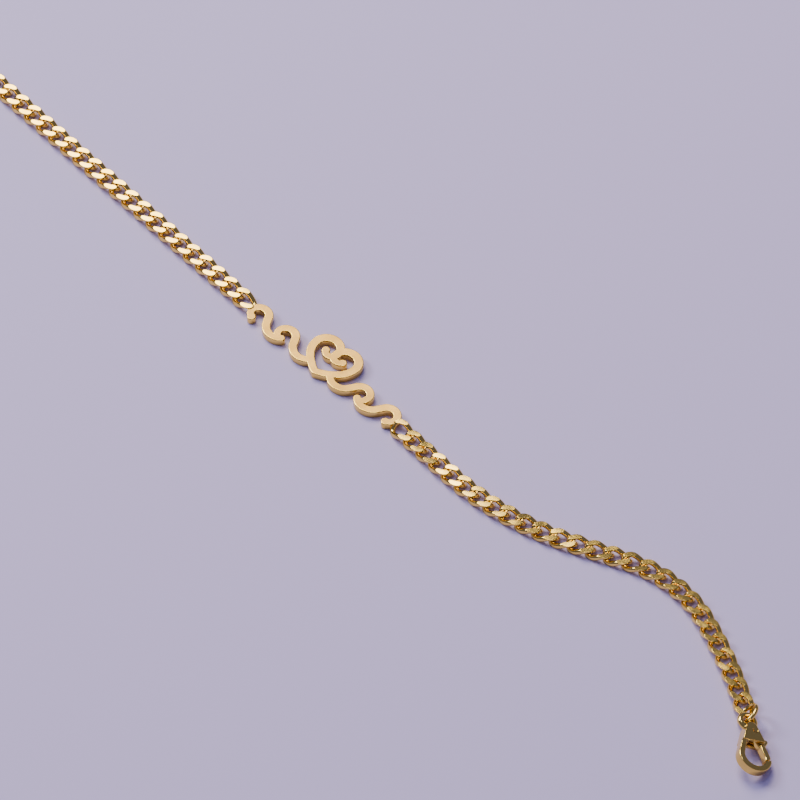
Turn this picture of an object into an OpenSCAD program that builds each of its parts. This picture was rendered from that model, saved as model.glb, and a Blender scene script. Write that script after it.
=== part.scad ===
// Nameplate bracelet, lying open and flat: a pierced scroll plate between two
// flat curb chains, with a lobster clasp at one end and a catch ring at the other.
// Units are millimetres. The origin is on the plate's back face, at the tip of
// the scroll heart. +X runs along the plate towards the clasp, +Y to the heart's
// lobes, +Z up out of the plate's face.

/* [Nameplate] */
// Length of the pierced plate, end to end
plate_l = 27.6; // [22:0.2:34]
// Thickness of the plate
plate_t = 1.0; // [0.8:0.05:1.2]
// Height of the low waves beside the heart
low_h = 3.8; // [3.2:0.1:4.6]
// Height of the scroll heart in the middle
tall_h = 6.7; // [5.6:0.1:8]
// Width of the scroll's strokes
stroke_w = 1.1; // [0.9:0.05:1.3]
// Number of low waves on each side of the heart
waves = 2; // [1:1:3]

/* [Chain] */
// Length of one curb link, outside
link_l = 4.1; // [3.95:0.05:4.6]
// Width of one curb link, outside
link_w = 2.8; // [2.65:0.05:3.3]
// Diameter of the links' wire
wire_d = 0.7; // [0.6:0.01:0.72]
// Height of the chain between its flats
chain_h = 1.2; // [1.1:0.05:1.4]
// Rise of the wire's centre above and below the link's middle plane
link_rise = 0.5; // [0.48:0.01:0.6]
// Free play between two neighbouring links
link_play = 0.2; // [0.15:0.01:0.3]
// Free links left of the plate
links_left = 27; // [18:1:32]
// Free links right of the plate
links_right = 26; // [18:1:30]
// How deep the soldered end links reach into the plate's strokes
solder_bite = 0.55; // [0.4:0.05:0.7]

/* [Rings] */
// Outer diameter of the jump ring and of the catch ring
ring_d = 3.5; // [3.35:0.05:3.75]
// Diameter of the rings' wire
ring_wire = 0.6; // [0.5:0.01:0.63]

/* [Clasp] */
// Length from the eye's centre to the hook's outer end
clasp_l = 8.1; // [7.6:0.1:9]
// Width of the clasp across the hook
clasp_w = 4.6; // [4.4:0.05:5]
// Thickness of the clasp's body, over both cheeks
clasp_t = 2.0; // [1.8:0.05:2.2]
// Thickness of the hook
hook_t = 1.25; // [1.1:0.05:1.6]
// Width of the hook's rim, seen from the broad side
rim_w = 0.82; // [0.72:0.02:0.96]
// Mean diameter of the clasp's eye
eye_d = 2.0; // [1.9:0.02:2.1]
// Diameter of the eye's round section
eye_wire = 0.85; // [0.7:0.01:0.86]
// Width of the slot that the lever turns in
slot_t = 0.9; // [0.7:0.05:1]
// Clearance of the lever in its slot, each side
lever_gap = 0.06; // [0.04:0.01:0.12]
// Width of the gap between the lever's tip and the hook's tip
tip_gap = 0.12; // [0.08:0.01:0.2]
// Diameter of the lever's pin
pin_d = 0.6; // [0.5:0.05:0.7]
// Radial clearance of the pin in the lever
pin_gap = 0.04; // [0.02:0.01:0.08]

/* [Hidden] */
// Steps of the round shapes
arc_step = 7.5;      // degrees per step along a scroll stroke
link_stations = 16;  // sections around a link
wire_sides = 6;      // sides of a link's wire
$fn = 48;

GOLD = "gold";
SATIN_GOLD = "khaki";

// ---- chain ----
link_a = (link_l - wire_d) / 2;             // half length of a link's centre line
link_b = (link_w - wire_d) / 2;             // half width of a link's centre line
pitch = link_l - 2 * wire_d - link_play;    // spacing of the links
plate_lift = 0.05;                          // the plate's back stands this far over the table
floor_z = -plate_lift;                      // the surface that the chain's flats lie on
chain_z = floor_z + chain_h / 2;

// The chain's routes from the plate, chosen by hand along the photo's curve:
// [length of the stretch in pitches, how far it turns in degrees, left is positive].
// Past the last row a route runs on straight.
heading_left = 176.9;
route_left = [[28, 0]];
heading_right = -4;
route_right = [[3.6, 0], [8, 27], [2.8, 0], [5.6, -43], [6.4, -12]];

// ---- scroll strokes of the right half, as tables: [length, turn, width at its end] ----
// Lengths are shares of the stroke's height, turns are degrees and widths are
// shares of stroke_w. The left half is its mirror image.
heart_heading = 22;       // half of the scroll heart, from its tip, tall_h
heart_rows = [
    [0.46,   28, 1.06],   // flank
    [0.34,   40, 1.14],   // side
    [0.40,   92, 1.12],   // lobe, up to its crest
    [0.40,   92, 1.02],   // lobe, down to the cleft
    [0.32,  152, 0.82]];  // curl inside the lobe
wave_heading = -50;       // a low wave, low_h
wave_rows = [
    [0.52,   67, 0.98],   // trough
    [0.40,   45, 1.06],   // up out of the trough
    [0.27,    0, 1.08],   // back
    [0.60, -106, 1.00],   // crest
    [0.50, -100, 0.90],   // curl
    [0.08,  -12, 0.88]];
WAVE_START = [0.50, 0.20];  // start of the first wave, shares of low_h
WAVE_PITCH = 1.22;        // spacing of the waves, a share of low_h
start_w = 0.94;           // width at the start of every stroke, a share of stroke_w
BALL = 1.06;              // ball at a stroke's end, a share of stroke_w

// ---- clasp, in its own frame: the eye's centre at the origin, the hook towards
// +X, the spine on -Y, the lever on +Y, the broad faces square to Z ----
hook_r = clasp_w / 2;
hook_x = clasp_l - hook_r;                  // centre of the hook's round end
eye_r = eye_d / 2;
neck_x = eye_r + 0.55 * eye_wire;
neck_r = 0.34 * hook_r;
body_end = hook_x - 0.98 * hook_r;          // where the cheeks end and the hook's opening starts
pivot = [0.24 * clasp_l, 0.15 * hook_r];    // the lever's pin
tip_r = 0.53 * clasp_l;                     // reach of the lever's tip from its pin
boss_r = 1.2 * pin_d;                       // the lever's boss around its pin
slot_r = boss_r + tip_gap;                  // and the room that the slot leaves it
lever_slim = 0.06;                          // the lever's rim is slimmer than the hook's, each side
// The lever's root and its thumb nub past the boss: corners as shares of hook_r,
// along the clasp from body_end and out from its middle line
ROOT_CORNERS = [[0.22, 0.39], [0.30, 0.76], [-0.09, 0.74]];
NUB_CORNERS = [[-0.39, 0.52], [-0.38, 0.86], [-0.13, 0.96], [0.22, 0.76], [0.17, 0.43]];
NUB_END = [-0.24, 0.86, 0.15];              // centre and radius of its round end

// ---- how the rings and the clasp lie ----
// The jump ring leans on the last link: roll about the chain, and lift of its far side.
ring_roll = 37;
ring_lift = 30;
ring_ahead = 1.94;         // ring's centre ahead of the last link's centre
// The clasp lies rolled onto its lever side.
clasp_roll = -27;
clasp_lift = -1.0;
clasp_turn = -6.9;
clasp_off = [0.18, -0.43, -0.367];   // eye's centre from the ring's far side

// ================= routes =================

// One step of a walk in the plane, from p = [x, y, heading] over an arc
function along(p, len, turn) =
    let (chord = turn == 0 ? len : len * sin(turn / 2) / (turn / 2 * PI / 180))
    [p[0] + chord * cos(p[2] + turn / 2), p[1] + chord * sin(p[2] + turn / 2), p[2] + turn];

// The place and heading of link k along a route of [pitches, turn] rows
function route_at(p, rows, k, i = 0) =
    i == len(rows) ? along(p, k * pitch, 0)
    : k <= rows[i][0] ? along(p, k * pitch, rows[i][1] * k / rows[i][0])
    : route_at(along(p, rows[i][0] * pitch, rows[i][1]), rows, k - rows[i][0], i + 1);

// ================= scroll plate =================

// The points of a stroke's centre line, [x, y, width], from rows of shares of u
function row_points(p, w0, row, u) =
    let (n = max(2, ceil(abs(row[1]) / arc_step)))
    [for (k = [0:n]) let (q = along(p, row[0] * u * k / n, row[1] * k / n))
        [q[0], q[1], (w0 + (row[2] - w0) * k / n) * stroke_w]];
function walk(p, w0, rows, u, i = 0) =
    let (pts = row_points(p, w0, rows[i], u))
    i == len(rows) - 1 ? pts
    : concat([for (k = [0:len(pts) - 2]) pts[k]],
             walk(along(p, rows[i][0] * u, rows[i][1]), rows[i][2], rows, u, i + 1));
function after(p, rows, u, n, i = 0) =
    i == n ? p : after(along(p, rows[i][0] * u, rows[i][1]), rows, u, n, i + 1);

// Outline of a stroke, from both sides of its centre line
function side(pts, s) =
    [for (i = [0:len(pts) - 1])
        let (a = pts[max(i - 1, 0)], b = pts[min(i + 1, len(pts) - 1)],
             d = [b[0] - a[0], b[1] - a[1]], n = [-d[1], d[0]] / norm(d))
        [pts[i][0], pts[i][1]] + s * pts[i][2] / 2 * n];
function outline(pts) =
    let (r = side(pts, -1)) concat(side(pts, 1), [for (i = [len(r) - 1:-1:0]) r[i]]);

// Starts of the strokes, before the plate is fitted to its length
heart_p = [0, 0, heart_heading];
function wave_p(i) =
    [(WAVE_START[0] + i * WAVE_PITCH) * low_h, WAVE_START[1] * low_h, wave_heading];
wave_reach = max([for (q = walk(wave_p(waves - 1), start_w, wave_rows, low_h)) q[0]]);
fit_x = (plate_l / 2 - stroke_w / 2) / wave_reach;
function fitted(pts) = [for (q = pts) [q[0] * fit_x, q[1], q[2]]];

module stroke(p, rows, u) {
    pts = fitted(walk(p, start_w, rows, u));
    last = pts[len(pts) - 1];
    polygon(outline(pts));
    translate([pts[0][0], pts[0][1]]) circle(d = pts[0][2]);
    translate([last[0], last[1]]) circle(d = BALL * stroke_w);
}

module scroll_half() {
    stroke(heart_p, heart_rows, tall_h);
    for (i = [0:waves - 1])
        stroke(wave_p(i), wave_rows, low_h);
}
module scroll() {
    scroll_half();
    mirror([1, 0]) scroll_half();
}

// ================= curb links =================

// Centre line of a link at angle t, and its direction
function link_point(t) = [link_a * cos(t), link_b * sin(t), link_rise * sin(2 * t) * -1];
function link_dir(t) =
    let (v = [-link_a * sin(t), link_b * cos(t), -2 * link_rise * cos(2 * t)]) v / norm(v);
// Points of one link at place p = [x, y, heading], cut flat above and below
function link_points(p) =
    [for (i = [0:link_stations - 1], j = [0:wire_sides - 1])
        let (t = 360 * i / link_stations, c = link_point(t), d = link_dir(t),
             n = [-d[1], d[0], 0] / norm([d[0], d[1]]), up = cross(d, n),
             a = 360 * (j + 0.5) / wire_sides,
             q = c + wire_d / 2 * (cos(a) * n + sin(a) * up),
             z = min(max(q[2], -chain_h / 2), chain_h / 2))
        [p[0] + q[0] * cos(p[2]) - q[1] * sin(p[2]),
         p[1] + q[0] * sin(p[2]) + q[1] * cos(p[2]),
         chain_z + z]];
function link_faces(k) =
    let (n = link_stations, m = wire_sides, o = k * n * m)
    [for (i = [0:n - 1], j = [0:m - 1], half = [0, 1])
        let (i1 = (i + 1) % n, j1 = (j + 1) % m)
        half == 0 ? [o + i * m + j, o + i1 * m + j1, o + i * m + j1]
                  : [o + i * m + j, o + i1 * m + j, o + i1 * m + j1]];
// A row of separate links in one polyhedron
module links(places) {
    polyhedron(
        points = [for (p = places) each link_points(p)],
        faces = [for (k = [0:len(places) - 1]) each link_faces(k)],
        convexity = 8);
}

// The soldered end links: each reaches into the last wave's curl by the solder bite
JOIN_LEFT = 0.30;          // places on the curl, shares of its length
JOIN_RIGHT = 0.62;
curl = fitted(row_points(after(wave_p(waves - 1), wave_rows, low_h, 4), 1, wave_rows[4], low_h));
function join(share) = curl[round((len(curl) - 1) * share)];
function end_link(q, side, heading) =
    along([side * q[0], q[1], heading], q[2] / 2 - solder_bite + link_l / 2, 0);
left_start = end_link(join(JOIN_LEFT), -1, heading_left);
right_start = end_link(join(JOIN_RIGHT), 1, heading_right);
left_end = route_at(left_start, route_left, links_left);
right_end = route_at(right_start, route_right, links_right);

// ================= rings =================

ring_r = (ring_d - ring_wire) / 2;

module ring() {
    rotate_extrude() translate([ring_r, 0]) circle(d = ring_wire);
}

// How far a ring's centre stands over the floor when it leans and touches it
ring_z = floor_z + ring_wire / 2
    + ring_r * sqrt(pow(sin(ring_lift), 2) + pow(cos(ring_lift) * sin(ring_roll), 2));

// Puts its children, drawn with the ring's centre at the origin, past the last link
module past_link(end) {
    translate([end[0], end[1], 0]) rotate([0, 0, end[2]])
        translate([ring_ahead, 0, ring_z]) children();
}
module lean() {
    rotate([ring_roll, -ring_lift, 0]) children();
}

// ================= clasp =================

// Two circles on the X axis and the flanks that touch both
module taper(x1, r1, x2, r2) {
    a = acos((r1 - r2) / (x2 - x1));
    translate([x1, 0]) circle(r = r1);
    translate([x2, 0]) circle(r = r2);
    polygon([[x1 + r1 * cos(a), r1 * sin(a)], [x2 + r2 * cos(a), r2 * sin(a)],
             [x2 + r2 * cos(a), -r2 * sin(a)], [x1 + r1 * cos(a), -r1 * sin(a)]]);
}
module clasp_outline() {
    taper(neck_x, neck_r, hook_x, hook_r);
}
// The opening inside the hook
module hook_hole() {
    r = hook_r - rim_w;
    intersection() {
        taper(neck_x + 0.4, neck_r - 0.35, hook_x, r);
        translate([body_end, -hook_r]) square([clasp_l, clasp_w]);
    }
}
// Everything that turns with the lever lies inside this reach, on the lever's side
module lever_zone(reach) {
    intersection() {
        translate(pivot) circle(r = reach);
        translate([body_end + 0.1, 0.5]) square([clasp_l, clasp_w]);
    }
}
function corners(rows) = [for (c = rows) [body_end + c[0] * hook_r, c[1] * hook_r]];
module lever_root() {
    translate(pivot) circle(r = boss_r);
    polygon(concat([pivot - [0, boss_r]], corners(ROOT_CORNERS),
                   [pivot + boss_r * [-0.28, 0.96]]));
}
// The thumb nub, outside the cheeks
module nub() {
    translate(corners([NUB_END])[0]) circle(r = NUB_END[2] * hook_r);
    polygon(corners(NUB_CORNERS));
}

module clasp_body_shape() {
    difference() {
        union() {
            // cheeks, joined by the spine
            translate([0, 0, -clasp_t / 2]) linear_extrude(clasp_t)
                intersection() {
                    clasp_outline();
                    translate([neck_x - neck_r - 0.05, -hook_r]) square([body_end - neck_x + neck_r + 0.05, clasp_w]);
                }
            // hook and spine
            translate([0, 0, -hook_t / 2]) linear_extrude(hook_t)
                difference() {
                    intersection() {
                        clasp_outline();
                        translate([body_end - 0.3, -hook_r]) square([clasp_l, clasp_w]);
                    }
                    hook_hole();
                    lever_zone(tip_r + tip_gap);
                }
            // eye
            rotate_extrude() translate([eye_r, 0]) circle(d = eye_wire);
            translate([eye_r, 0, 0]) rotate([0, 90, 0]) cylinder(d = eye_wire * 0.98, h = neck_x - eye_r);
        }
        // slot for the lever, open towards the hook and the lever's side
        translate([0, 0, -slot_t / 2]) linear_extrude(slot_t) {
            translate(pivot) circle(r = slot_r);
            translate(pivot - [0, slot_r]) square([body_end - pivot[0] + 0.2, slot_r]);
            translate(pivot - [slot_r, 0]) square([body_end - pivot[0] + slot_r + 0.2, clasp_w]);
        }
        translate([pivot[0], pivot[1], -clasp_t]) cylinder(d = pin_d + 0.02, h = 2 * clasp_t);
    }
}

module clasp_lever_shape() {
    difference() {
        union() {
            translate([0, 0, -slot_t / 2 + lever_gap]) linear_extrude(slot_t - 2 * lever_gap) {
                lever_root();
                nub();
            }
            translate([0, 0, -hook_t / 2 + lever_slim]) linear_extrude(hook_t - 2 * lever_slim)
                intersection() {
                    difference() {
                        taper(neck_x, neck_r, hook_x, hook_r - lever_slim);
                        hook_hole();
                    }
                    lever_zone(tip_r);
                    translate([body_end + 0.2, 0.75]) square([clasp_l, clasp_w]);
                }
        }
        translate([pivot[0], pivot[1], -clasp_t]) cylinder(d = pin_d + 2 * pin_gap, h = 2 * clasp_t);
    }
}

// Puts the clasp, drawn in its own frame, on the jump ring's far side
ring_far = [ring_r * cos(ring_lift), 0, ring_r * sin(ring_lift)];
module on_ring() {
    past_link(right_end) translate(ring_far + clasp_off)
        rotate([clasp_roll, -clasp_lift, clasp_turn]) children();
}

// ================= the pieces =================

module nameplate() {
    color(SATIN_GOLD) {
        linear_extrude(plate_t) scroll();
        links([left_start, right_start]);
    }
}
module chain_left() {
    color(GOLD) links([for (i = [1:links_left]) route_at(left_start, route_left, i)]);
}
module chain_right() {
    color(GOLD) links([for (i = [1:links_right]) route_at(right_start, route_right, i)]);
}
module clasp_ring() {
    color(GOLD) past_link(right_end) lean() ring();
}
module end_ring() {
    color(GOLD) past_link(left_end) lean() ring();
}
module clasp_body() {
    color(GOLD) on_ring() clasp_body_shape();
}
module clasp_pin() {
    color(GOLD) on_ring() translate([pivot[0], pivot[1], -clasp_t / 2]) cylinder(d = pin_d, h = clasp_t);
}
module clasp_lever() {
    color(GOLD) on_ring() clasp_lever_shape();
}

nameplate();
chain_left();
chain_right();
clasp_ring();
clasp_body();
clasp_pin();
clasp_lever();
end_ring();
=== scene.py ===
# Nameplate bracelet, laid out flat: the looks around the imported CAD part.
# Everything is in metres, in the part's own frame: +X along the plate to the
# clasp, +Y across it to the heart's lobes, +Z up off the table.
import math
import random

import bmesh
import bpy
from mathutils import Matrix, Vector
from mathutils.geometry import delaunay_2d_cdt


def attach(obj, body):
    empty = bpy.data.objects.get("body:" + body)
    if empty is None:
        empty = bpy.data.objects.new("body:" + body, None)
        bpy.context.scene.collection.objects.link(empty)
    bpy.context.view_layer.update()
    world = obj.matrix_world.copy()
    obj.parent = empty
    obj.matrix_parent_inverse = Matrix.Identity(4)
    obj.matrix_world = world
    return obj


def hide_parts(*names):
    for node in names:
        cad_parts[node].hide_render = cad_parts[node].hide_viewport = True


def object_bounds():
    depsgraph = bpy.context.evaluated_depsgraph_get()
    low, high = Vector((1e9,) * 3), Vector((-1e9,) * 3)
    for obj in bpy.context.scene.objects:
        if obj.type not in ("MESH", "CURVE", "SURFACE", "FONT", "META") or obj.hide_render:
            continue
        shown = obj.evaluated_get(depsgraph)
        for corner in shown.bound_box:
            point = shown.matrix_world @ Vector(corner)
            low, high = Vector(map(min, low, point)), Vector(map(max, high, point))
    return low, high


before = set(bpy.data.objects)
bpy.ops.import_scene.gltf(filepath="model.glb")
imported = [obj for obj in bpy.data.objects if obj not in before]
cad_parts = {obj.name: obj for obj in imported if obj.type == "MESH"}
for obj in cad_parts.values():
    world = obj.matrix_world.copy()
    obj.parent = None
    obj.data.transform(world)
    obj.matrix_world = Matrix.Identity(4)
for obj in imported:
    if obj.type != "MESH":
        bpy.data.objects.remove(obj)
cad_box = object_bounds()

# ==== Camera ====
# A long lens looks down on the bracelet from beyond the plate's lower edge.
# The far end of the left chain runs out of the picture, as in the photograph.
MM = 0.001
LOOK_AT = Vector((10.57, 5.10, -0.20)) * MM
AZIMUTH, ELEVATION = math.radians(45.6), math.radians(50.0)
DISTANCE = 1.2435
LENS, SENSOR = 432.0, 36.0      # mm
SEES_TO = 10.0


def from_side(azimuth, elevation, distance):
    """The place at that distance from the middle of the view; azimuth 0 is on -Y."""
    level = math.cos(elevation)
    way = Vector((math.sin(azimuth) * level, -math.cos(azimuth) * level, math.sin(elevation)))
    return LOOK_AT + way * distance


def aim(thing):
    """Turns a camera or a lamp to the middle of the view."""
    way = LOOK_AT - thing.location
    thing.rotation_euler = way.to_track_quat("-Z", "Y").to_euler()


camera = bpy.data.objects.new("camera", bpy.data.cameras.new("camera"))
camera.data.lens = LENS
camera.data.sensor_width = SENSOR
camera.data.clip_end = SEES_TO
camera.location = from_side(AZIMUTH, ELEVATION, DISTANCE)
aim(camera)
bpy.context.scene.collection.objects.link(camera)
bpy.context.scene.camera = camera

# ==== Table ====
# A plain pale lilac surface, matt as coated board, level with the chains' lower
# flats, which rest on it.
TABLE_REACH = 3.0
TABLE_LILAC = "#DACFFF"
TABLE_ROUGHNESS, TABLE_SHEEN_LEVEL = 0.75, 0.2


def colour(hex_code, alpha=1.0):
    """An sRGB hex value as Blender's linear colour."""
    parts = [int(hex_code[i:i + 2], 16) / 255 for i in (1, 3, 5)]
    return [c / 12.92 if c <= 0.04045 else ((c + 0.055) / 1.055) ** 2.4 for c in parts] + [alpha]


def add(tree, kind, sockets=None, **settings):
    """Adds a node: settings are its own fields, sockets its inputs' values or links."""
    node = tree.nodes.new("ShaderNode" + kind)
    for field, value in settings.items():
        setattr(node, field, value)
    for name, value in (sockets or {}).items():
        if isinstance(value, bpy.types.NodeSocket):
            tree.links.new(value, node.inputs[name])
        else:
            node.inputs[name].default_value = value
    return node


def material(name):
    """A new material, its node tree and its Principled shader."""
    made = bpy.data.materials.new(name)
    made.use_nodes = True
    return made, made.node_tree, made.node_tree.nodes["Principled BSDF"]


def show(bm, name, materials):
    """A finished bmesh as an object at the origin."""
    mesh = bpy.data.meshes.new(name)
    bm.to_mesh(mesh)
    bm.free()
    for one in materials:
        mesh.materials.append(one)
    thing = bpy.data.objects.new(name, mesh)
    bpy.context.scene.collection.objects.link(thing)
    return thing


# matt lacquered board: an even tone that takes soft shadows and hardly shines
table_paint, tree, shader = material("matt_lilac_table")
shader.inputs["Base Color"].default_value = colour(TABLE_LILAC)
shader.inputs["Roughness"].default_value = TABLE_ROUGHNESS
shader.inputs["Specular IOR Level"].default_value = TABLE_SHEEN_LEVEL
bm = bmesh.new()
bmesh.ops.create_grid(bm, x_segments=1, y_segments=1, size=TABLE_REACH,
                      matrix=Matrix.Translation((0, 0, cad_box[0].z)))
table = show(bm, "table", [table_paint])

# ==== Studio light ====
# Three soft boxes stand round the bracelet. The far one is what its level flats
# mirror to the camera. The room is dim, so that rounded metal keeps its dark sides.
ROOM_LILAC, ROOM_LIGHT = "#AAAAE0", 0.34
SOFT_BOXES = [
    # name, azimuth and elevation in degrees, distance and side in metres, watts, tint
    ("far_soft_box", 247, 52, 0.8, 0.38, 4.9, "#FFF0D2"),
    ("left_soft_box", 288, 38, 0.9, 0.30, 3.8, "#F3F1FF"),
    ("top_soft_box", 235, 80, 0.9, 0.20, 0.9, "#ECE8FF")]

for name, azimuth, elevation, distance, side, watts, tint in SOFT_BOXES:
    lamp = bpy.data.lights.new(name, "AREA")
    lamp.shape = "SQUARE"
    lamp.size = side
    lamp.energy = watts
    lamp.color = colour(tint)[:3]
    thing = bpy.data.objects.new(name, lamp)
    thing.location = from_side(math.radians(azimuth), math.radians(elevation), distance)
    aim(thing)
    bpy.context.scene.collection.objects.link(thing)

room = bpy.data.worlds.new("room")
room.use_nodes = True
room.node_tree.nodes["Background"].inputs["Color"].default_value = colour(ROOM_LILAC)
room.node_tree.nodes["Background"].inputs["Strength"].default_value = ROOM_LIGHT
bpy.context.scene.world = room

# ==== Curb chains ====
# Each link is a ring of round gold-plated brass wire, drawn out, bent a little so
# that it lies in its neighbours, and milled flat above and below.
LINK_L, LINK_W, WIRE = 4.1 * MM, 2.8 * MM, 0.76 * MM
LINK_RISE = 0.53 * MM
CHAIN_H = 1.2 * MM
LINK_STATIONS, WIRE_SIDES = 44, 14      # round the link and round its wire
FLAT_EDGE = 0.03 * MM      # the milled edge, barely broken by polishing
LINK_TIP = 0.9             # degrees out of level at most, so that each link glints on its own
TIP_SEED = 7
TOUCH = 1e-7               # corners this near, in metres, are one
FLAT_WEIGHT = 80           # how far broad faces rule the shading, out of 100
GOLD, GOLD_WARM = "#F4D676", "#E9C55C"
GOLD_SMOOTH, GOLD_HAZY = 0.08, 0.16              # roughness
HAZE_SIZE = 1.5 * MM
MARK_SIZE, MARK_DEPTH, MARK_STRENGTH = 0.12 * MM, 0.01 * MM, 0.02
NOISE_LOW, NOISE_HIGH = 0.3, 0.7                 # most of a noise's values lie between these

gold, tree, shader = material("polished_gold_plate")
# polished gold plate on brass: a warm mirror with a little haze. Real wheel marks
# are finer than 0.12 mm, and are drawn as coarse as that so that they just show.
place = add(tree, "TexCoord").outputs["Object"]
haze = add(tree, "TexNoise", {"Vector": place, "Scale": 1 / HAZE_SIZE, "Detail": 3.0})
tone = add(tree, "Mix", {"Factor": haze.outputs["Fac"]}, data_type="RGBA")
tone.inputs["A"].default_value = colour(GOLD)
tone.inputs["B"].default_value = colour(GOLD_WARM)
rough = add(tree, "MapRange", {"Value": haze.outputs["Fac"],
                               "From Min": NOISE_LOW, "From Max": NOISE_HIGH,
                               "To Min": GOLD_SMOOTH, "To Max": GOLD_HAZY})
marks = add(tree, "TexNoise", {"Vector": place, "Scale": 1 / MARK_SIZE, "Detail": 2.0})
bump = add(tree, "Bump", {"Height": marks.outputs["Fac"], "Strength": MARK_STRENGTH,
                          "Distance": MARK_DEPTH})
tree.links.new(tone.outputs["Result"], shader.inputs["Base Color"])
tree.links.new(rough.outputs["Result"], shader.inputs["Roughness"])
tree.links.new(bump.outputs["Normal"], shader.inputs["Normal"])
shader.inputs["Metallic"].default_value = 1.0


def link_line(t):
    """The middle of a link's wire at angle t."""
    return Vector(((LINK_L - WIRE) / 2 * math.cos(t), (LINK_W - WIRE) / 2 * math.sin(t),
                   -LINK_RISE * math.sin(2 * t)))


def sort_faces(bm):
    """Puts the faces in one order, by their first three corners, the same at each run."""
    bm.verts.index_update()
    many = len(bm.verts)

    def rank(face):
        low = sorted(v.index for v in face.verts)
        return (low[0] * many + low[1]) * many + low[2]
    bm.faces.sort(key=rank)


def curb_link():
    """A ring of wire, round along the link's line and milled flat."""
    bm = bmesh.new()
    nudge = 0.001      # radians
    sections = []
    for i in range(LINK_STATIONS):
        t = 2 * math.pi * i / LINK_STATIONS
        along = (link_line(t + nudge) - link_line(t - nudge)).normalized()
        out = Vector((along.y, -along.x, 0)).normalized()
        up = out.cross(along)
        turns = [2 * math.pi * k / WIRE_SIDES for k in range(WIRE_SIDES)]
        sections.append([bm.verts.new(link_line(t) + (out * math.sin(a) + up * math.cos(a))
                                      * WIRE / 2) for a in turns])
    for i, section in enumerate(sections):
        for k in range(WIRE_SIDES):
            bm.faces.new((sections[i - 1][k - 1], sections[i - 1][k], section[k], section[k - 1]))
    for side in (1, -1):
        cut = bmesh.ops.bisect_plane(bm, geom=bm.verts[:] + bm.edges[:] + bm.faces[:], dist=TOUCH,
                                     plane_co=(0, 0, side * CHAIN_H / 2), plane_no=(0, 0, side),
                                     clear_outer=True)
        rims = [e for e in cut["geom_cut"] if isinstance(e, bmesh.types.BMEdge)]
        flats = bmesh.ops.holes_fill(bm, edges=rims)["faces"]
        milled = [e for e in bm.edges if any(f in flats for f in e.link_faces)]
        bmesh.ops.bevel(bm, geom=milled, offset=FLAT_EDGE, affect="EDGES", segments=1,
                        profile=0.5, material=-1, clamp_overlap=True)
        sort_faces(bm)
    bmesh.ops.recalc_face_normals(bm, faces=bm.faces[:])
    for f in bm.faces:
        f.smooth = True
    mesh = bpy.data.meshes.new("curb_link")
    bm.to_mesh(mesh)
    bm.free()
    return mesh


def links_of(node):
    """Where each link of a CAD chain lies: its middle and its heading, plate end first."""
    bm = bmesh.new()
    bm.from_mesh(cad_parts[node].data)
    bmesh.ops.remove_doubles(bm, verts=bm.verts[:], dist=TOUCH)
    places, seen = [], set()
    for start in bm.verts:
        if start in seen:
            continue
        seen.add(start)
        group, ahead = [], [start]
        while ahead:
            v = ahead.pop()
            group.append(v.co)
            near = [e.other_vert(v) for e in v.link_edges]
            fresh = [w for w in near if w not in seen]
            seen.update(fresh)
            ahead += fresh
        middle = sum(group, Vector()) / len(group)
        xx = sum((c.x - middle.x) ** 2 for c in group)
        yy = sum((c.y - middle.y) ** 2 for c in group)
        xy = sum((c.x - middle.x) * (c.y - middle.y) for c in group)
        middle.z = (min(c.z for c in group) + max(c.z for c in group)) / 2
        places.append((middle, 0.5 * math.atan2(2 * xy, xx - yy)))
    bm.free()
    return sorted(places, key=lambda p: abs(p[0].x))


def lay_links(bm, places):
    """Puts a copy of the link at each place."""
    for middle, heading in places:
        tips = [math.radians(dice.uniform(-LINK_TIP, LINK_TIP)) for axis in "XY"]
        link = link_mesh.copy()
        link.transform(Matrix.Translation(middle) @ Matrix.Rotation(heading, 4, "Z")
                       @ Matrix.Rotation(tips[0], 4, "X") @ Matrix.Rotation(tips[1], 4, "Y"))
        bm.from_mesh(link)


def polish(thing):
    """Keeps broad faces flat to the light and turns narrow rounded edges."""
    even = thing.modifiers.new("even_light", "WEIGHTED_NORMAL")
    even.keep_sharp = True
    even.weight = FLAT_WEIGHT


link_mesh = curb_link()
dice = random.Random(TIP_SEED)
places = {node: links_of(node) for node in ("chain_left", "chain_right")}
for node in places:
    bm = bmesh.new()
    lay_links(bm, places[node])
    chain = show(bm, node + "_links", [gold])
    polish(chain)
    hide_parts(node)
    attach(chain, "bracelet")

# ==== Nameplate ====
# A plate sawn out of 1 mm brass sheet and gold plated: a scroll heart between low
# waves, two a side. Its faces are satin, its rims and walls polished. Each outer
# curl has a chain link soldered to it.
PLATE_L, PLATE_T = 27.6 * MM, 1.0 * MM
LOW_H, TALL_H, STROKE_W = 3.8 * MM, 6.7 * MM, 1.1 * MM
WAVES, WAVE_START, WAVE_PITCH = 2, (0.50, 0.20), 1.22   # start and pitch are shares of LOW_H
START_W, BALL = 0.94, 1.06                              # shares of STROKE_W
HEART_HEADING, WAVE_HEADING = 22, -50                   # degrees from +X
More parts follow.
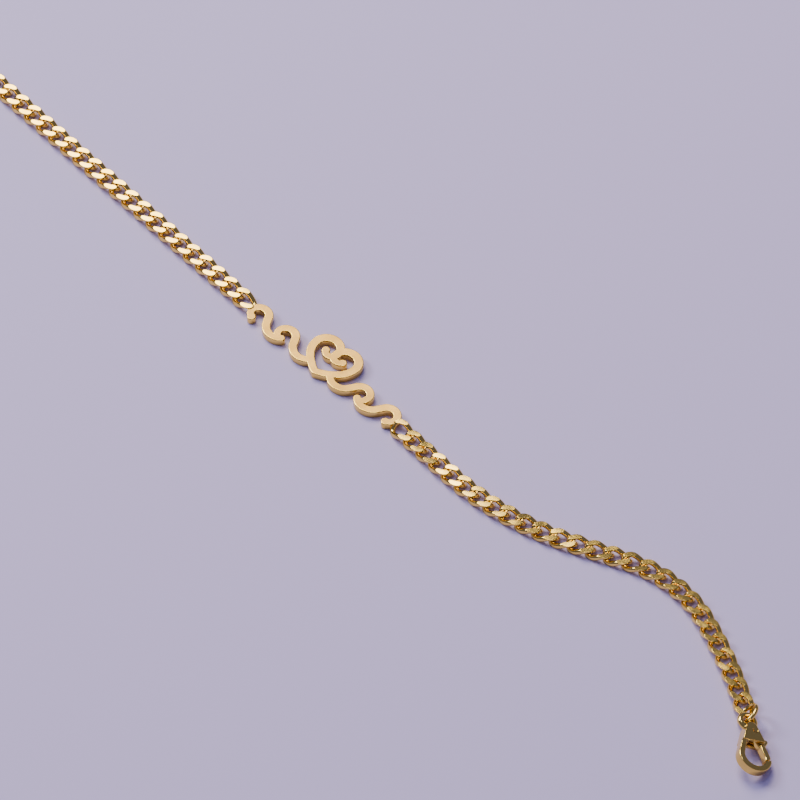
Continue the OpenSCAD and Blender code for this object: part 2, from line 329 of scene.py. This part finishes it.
# each row: length as a share of the stroke's height, turn in degrees, width at its end
HEART_ROWS = [
    (0.46, 28, 1.06),    # flank
    (0.34, 40, 1.14),    # side
    (0.40, 92, 1.12),    # lobe, up to its crest
    (0.40, 92, 1.02),    # lobe, down to the cleft
    (0.32, 152, 0.82)]   # curl inside the lobe
WAVE_ROWS = [
    (0.52, 67, 0.98),    # trough
    (0.40, 45, 1.06),    # up out of the trough
    (0.27, 0, 1.08),     # back
    (0.60, -106, 1.00),  # crest
    (0.50, -100, 0.90),  # curl
    (0.08, -12, 0.88)]   # its end
ARC_STEP = 3.0           # degrees between two stations of a stroke
DISC_SIDES = 72
SAME_SPOT = 0.004 * MM                   # outline corners this near are one
ALMOST_STRAIGHT = math.radians(1.0)      # outline corners that turn by less are dropped
RIM = 0.10 * MM          # how far the sawn rims are rounded over
CHAMPAGNE, CHAMPAGNE_DEEP = "#E2BA68", "#CA9C4C"
SATIN_FINE, SATIN_COARSE = 0.42, 0.52                   # roughness
CLOUD_SIZE = 2.5 * MM
GRAIN_SIZE, GRAIN_DEPTH, GRAIN_STRENGTH = 0.16 * MM, 0.02 * MM, 0.30

satin, tree, shader = material("satin_gold_plate")
# gold plate over a fine blasted grain: a pale even glow in place of a mirror. Real
# grain is finer than 0.16 mm, and is drawn as coarse as that so that it shows.
place = add(tree, "TexCoord").outputs["Object"]
cloud = add(tree, "TexNoise", {"Vector": place, "Scale": 1 / CLOUD_SIZE, "Detail": 4.0})
grain = add(tree, "TexNoise", {"Vector": place, "Scale": 1 / GRAIN_SIZE, "Detail": 2.0})
both = add(tree, "Math", {0: cloud.outputs["Fac"], 1: grain.outputs["Fac"]}, operation="MULTIPLY")
tone = add(tree, "Mix", {"Factor": both.outputs["Value"]}, data_type="RGBA")
tone.inputs["A"].default_value = colour(CHAMPAGNE)
tone.inputs["B"].default_value = colour(CHAMPAGNE_DEEP)
rough = add(tree, "MapRange", {"Value": cloud.outputs["Fac"],
                               "From Min": NOISE_LOW, "From Max": NOISE_HIGH,
                               "To Min": SATIN_FINE, "To Max": SATIN_COARSE})
bump = add(tree, "Bump", {"Height": grain.outputs["Fac"], "Strength": GRAIN_STRENGTH,
                          "Distance": GRAIN_DEPTH})
tree.links.new(tone.outputs["Result"], shader.inputs["Base Color"])
tree.links.new(rough.outputs["Result"], shader.inputs["Roughness"])
tree.links.new(bump.outputs["Normal"], shader.inputs["Normal"])
shader.inputs["Metallic"].default_value = 1.0


def stroke_line(start, heading, rows, height):
    """The stations of a scroll stroke, [x, y, width], walked along its rows of arcs."""
    spot, heading, width = Vector(start), math.radians(heading), START_W
    line = [(spot.x, spot.y, width * STROKE_W)]
    for share, turn, end_width in rows:
        steps = max(2, math.ceil(abs(turn) / ARC_STEP))
        arc = math.radians(turn) / steps
        chord = share * height / steps * (math.sin(arc / 2) / (arc / 2) if turn else 1.0)
        for k in range(1, steps + 1):
            spot = spot + Vector((math.cos(heading + arc / 2), math.sin(heading + arc / 2))) * chord
            heading += arc
            line.append((spot.x, spot.y, (width + (end_width - width) * k / steps) * STROKE_W))
        width = end_width
    return line


def draw_stroke(bm, line):
    """A flat band along a stroke's stations, with a disc at its start and a ball at its end."""
    sides = []
    for i, (x, y, width) in enumerate(line):
        before, after = line[max(i - 1, 0)], line[min(i + 1, len(line) - 1)]
        across = Vector((before[1] - after[1], after[0] - before[0], 0)).normalized() * width / 2
        sides.append([bm.verts.new(Vector((x, y, 0)) + across),
                      bm.verts.new(Vector((x, y, 0)) - across)])
    for (a, b), (c, d) in zip(sides, sides[1:]):
        bm.faces.new((a, b, d, c))
    for (x, y, width), round_d in ((line[0], line[0][2]), (line[-1], BALL * STROKE_W)):
        bmesh.ops.create_circle(bm, cap_ends=True, segments=DISC_SIDES, radius=round_d / 2,
                                matrix=Matrix.Translation((x, y, 0)))


def merge_flat(bm):
    """Makes one flat outline of all the bands and discs that lie over each other."""
    bm.normal_update()
    bm.verts.index_update()
    rings = [[v.index for v in (f.verts if f.normal.z > 0 else reversed(f.verts))]
             for f in bm.faces]
    corners = [v.co.xy / MM for v in bm.verts]
    inside_only, near = 1, 1e-4      # near is in mm, as the corners are
    spots, _, faces, _, _, sources = delaunay_2d_cdt(corners, [], rings, inside_only, near)
    bm.clear()
    verts = [bm.verts.new((p.x * MM, p.y * MM, 0)) for p in spots]
    for ring, source in zip(faces, sources):
        if source:      # a piece of some band or disc, and not of the open ground between them
            bm.faces.new([verts[i] for i in ring])
    bmesh.ops.remove_doubles(bm, verts=bm.verts[:], dist=SAME_SPOT)
    bmesh.ops.dissolve_limit(bm, angle_limit=ALMOST_STRAIGHT, verts=bm.verts[:], edges=bm.edges[:])


def is_level(face):
    """Whether a face lies in the plate's front or back."""
    level = 0.999
    return abs(face.normal.z) > level


def is_rim(edge):
    """Whether an edge runs between the plate's front or back and its sawn wall."""
    levels = [is_level(f) for f in edge.link_faces]
    return len(levels) == 2 and levels[0] != levels[1]


waves = [stroke_line(((WAVE_START[0] + i * WAVE_PITCH) * LOW_H, WAVE_START[1] * LOW_H),
                     WAVE_HEADING, WAVE_ROWS, LOW_H) for i in range(WAVES)]
fit_x = (PLATE_L - STROKE_W) / 2 / max(x for x, y, width in waves[-1])
bm = bmesh.new()
for line in [stroke_line((0, 0), HEART_HEADING, HEART_ROWS, TALL_H)] + waves:
    draw_stroke(bm, [(x * fit_x, y, width) for x, y, width in line])
bmesh.ops.mirror(bm, geom=bm.verts[:] + bm.edges[:] + bm.faces[:], axis="X", merge_dist=0)
merge_flat(bm)
lifted = bmesh.ops.extrude_face_region(bm, geom=bm.faces[:])["geom"]
bmesh.ops.translate(bm, verts=[g for g in lifted if isinstance(g, bmesh.types.BMVert)],
                    vec=(0, 0, PLATE_T))
bmesh.ops.recalc_face_normals(bm, faces=bm.faces[:])
bmesh.ops.bevel(bm, geom=[e for e in bm.edges if is_rim(e)], offset=RIM, affect="EDGES",
                segments=3, profile=0.5, material=-1, clamp_overlap=False)
bm.normal_update()
for f in bm.faces:
    f.smooth = True
    f.material_index = 1 if is_level(f) else 0
for row in places.values():
    (first, heading), (second, _) = row[:2]
    lay_links(bm, [(first * 2 - second, heading)])      # the soldered link, one pitch nearer
plate = show(bm, "scroll_plate", [gold, satin])
polish(plate)
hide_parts("nameplate")
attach(plate, "bracelet")

# ==== Clasp ====
# A small lobster clasp, cast in brass, tumbled and gold plated: a body with eye and
# hook, and a sprung lever on a pin. Its outward corners are softly rounded.
CAST_EDGE = 0.13 * MM          # how far a tumbled corner is rounded over
CORNER = math.radians(28)      # edges that turn by more than this are corners
SMOOTH = math.radians(0.5)     # and by less than this, no edges at all
MESH_WELD = 0.001 * MM         # joins the CAD mesh's loose triangles


def tumbled(node, name, body):
    """A cast piece: the CAD solid with its outward corners rounded over."""
    bm = bmesh.new()
    bm.from_mesh(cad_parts[node].data)
    bmesh.ops.remove_doubles(bm, verts=bm.verts[:], dist=MESH_WELD)
    bmesh.ops.dissolve_limit(bm, angle_limit=SMOOTH, verts=bm.verts[:], edges=bm.edges[:])
    sharp = [e for e in bm.edges
             if e.is_manifold and e.is_convex and e.calc_face_angle() > CORNER]
    bmesh.ops.bevel(bm, geom=sharp, offset=CAST_EDGE, affect="EDGES", segments=3, profile=0.5,
                    material=-1, clamp_overlap=False)
    for f in bm.faces:
        f.smooth = True
    piece = show(bm, name, [gold])
    polish(piece)
    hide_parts(node)
    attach(piece, body)


tumbled("clasp_body", "clasp_casting", "bracelet")
tumbled("clasp_lever", "clasp_latch", "lever")

# ==== Rings and pin ====
# Two jump rings bent of round wire, and the lever's plain pin, in the same polished
# gold plate. They keep the CAD's own meshes.
for node in ("clasp_pin", "clasp_ring", "end_ring"):
    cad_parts[node].data.materials.clear()
    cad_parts[node].data.materials.append(gold)
